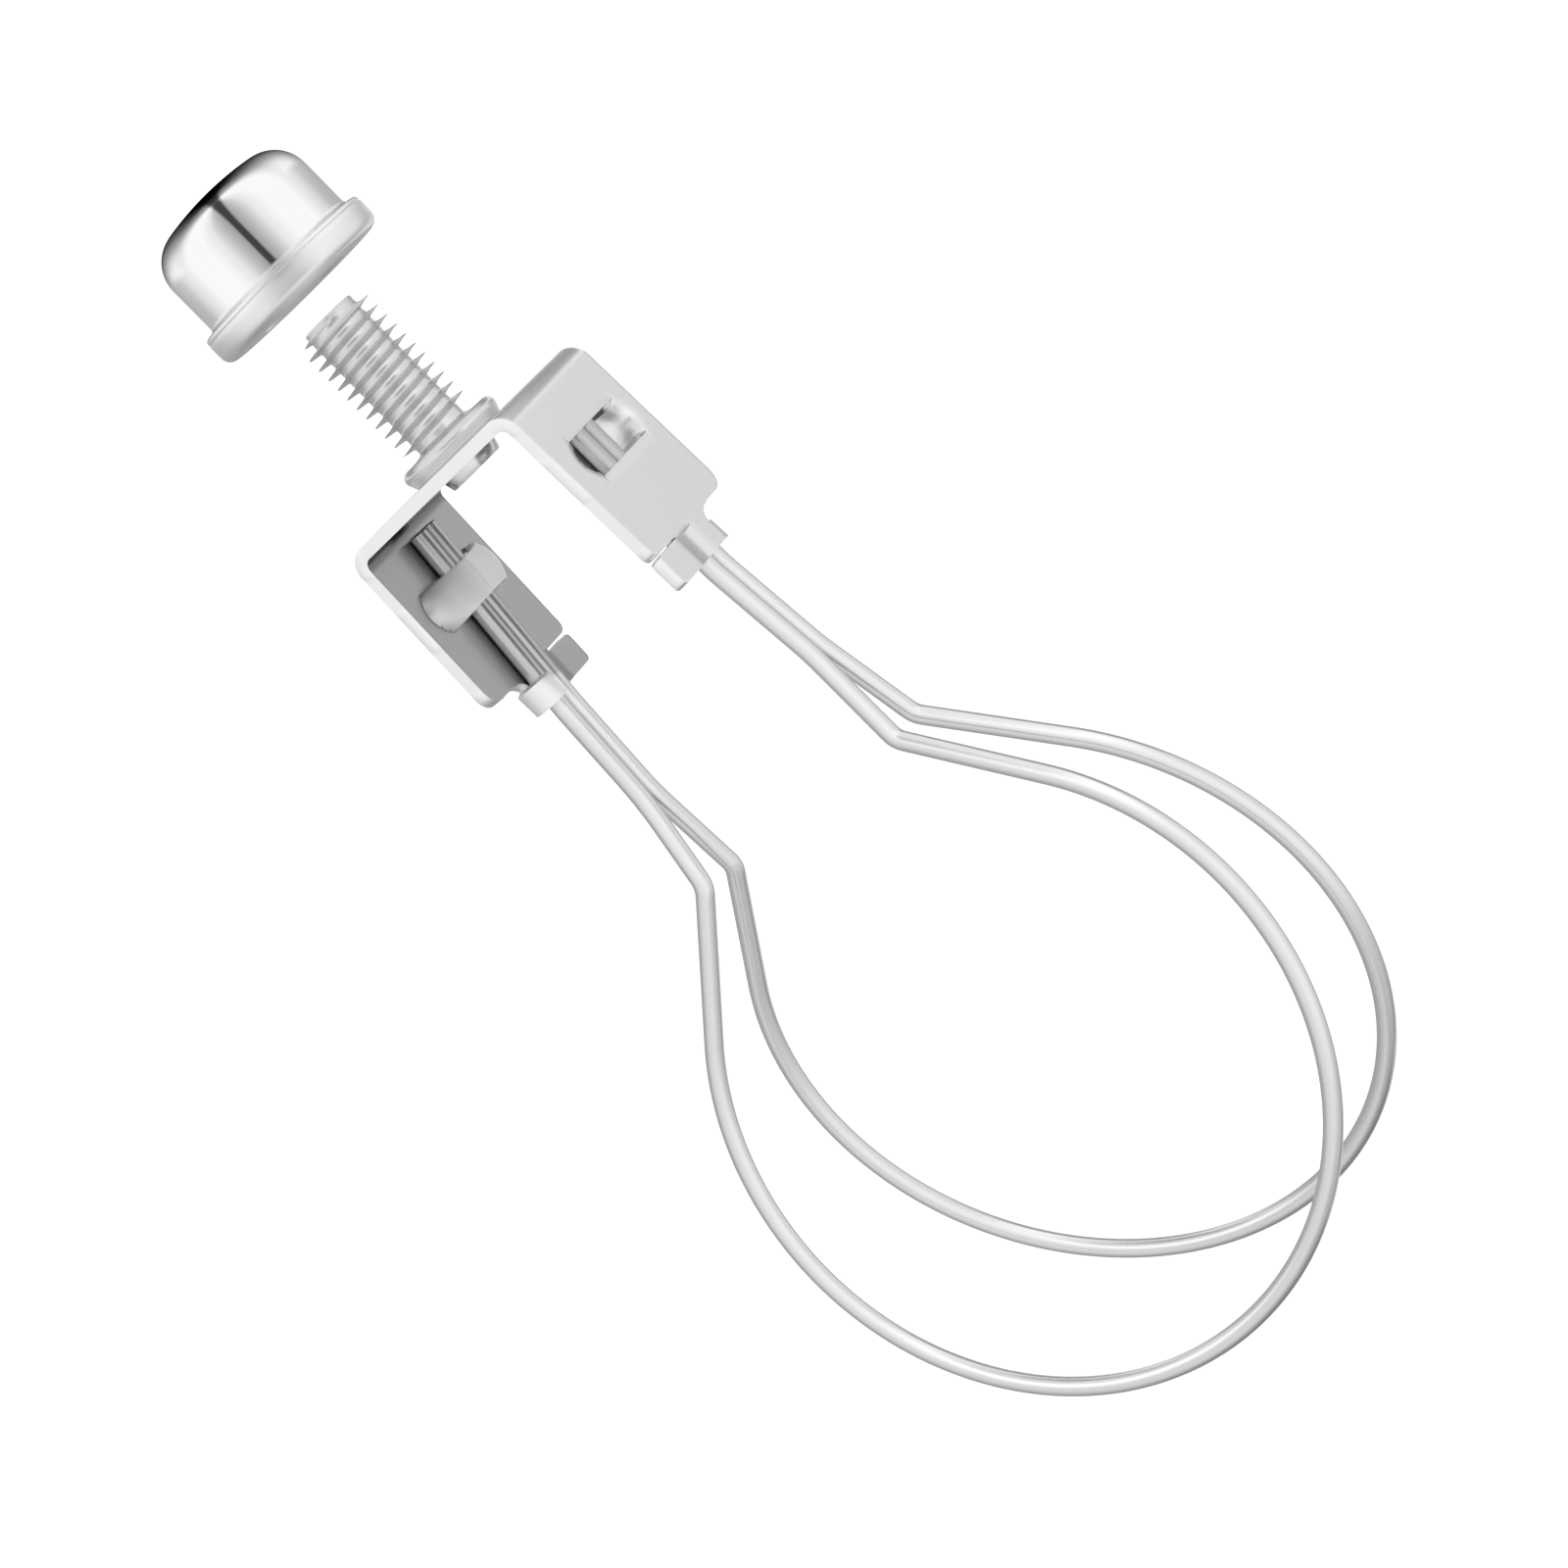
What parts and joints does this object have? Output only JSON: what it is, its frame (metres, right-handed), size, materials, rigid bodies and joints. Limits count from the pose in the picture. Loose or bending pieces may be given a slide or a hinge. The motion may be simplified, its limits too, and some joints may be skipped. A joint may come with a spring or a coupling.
{
  "type": "clip-on lampshade adapter",
  "caption": "Lampshade bulb clip: spring-wire rings that grip a light bulb, a folded saddle, a threaded stud for the shade and a screw-on cap finial.",
  "frame": {"origin": "centre of the shade seat, the flat top of the stud's collar", "axes": "+Z along the stud towards the finial, X from leg to leg of the saddle, Y across the strip with the front wire loop on -Y"},
  "size_m": [0.0486, 0.0206, 0.1085],
  "materials": {
    "finial_nickel": "mirror-bright nickel plate",
    "stud_nickel": "bright nickel plate over turned steel",
    "saddle_steel": "satin nickel plate over stamped sheet steel",
    "wire_steel": "bright nickel plate over drawn spring wire"
  },
  "bodies": {
    "clip": {"saddle": "saddle_steel", "stud": "stud_nickel", "front_tail_right": "wire_steel", "front_tail_left": "wire_steel", "back_tail_right": "wire_steel", "back_tail_left": "wire_steel"},
    "cap": {"finial": "finial_nickel"},
    "front_wire": {"front_loop": "wire_steel"},
    "back_wire": {"back_loop": "wire_steel"}
  },
  "joints": [
    {"name": "finial_lift", "type": "slide", "parent": "clip", "child": "cap", "axis": [0, 0, 1], "range_m": [-0.0107, 0.012]},
    {"name": "front_flex", "type": "hinge", "parent": "clip", "child": "front_wire", "pos_m": [0, -0.00088, -0.02009], "axis": [-0.9943, -0.1064, 0], "range_deg": [0, 20], "stiffness_Nm_per_rad": 0.4},
    {"name": "back_flex", "type": "hinge", "parent": "clip", "child": "back_wire", "pos_m": [0, 0.00072, -0.02009], "axis": [0.9943, 0.1064, 0], "range_deg": [0, 20], "stiffness_Nm_per_rad": 0.4}
  ]
}
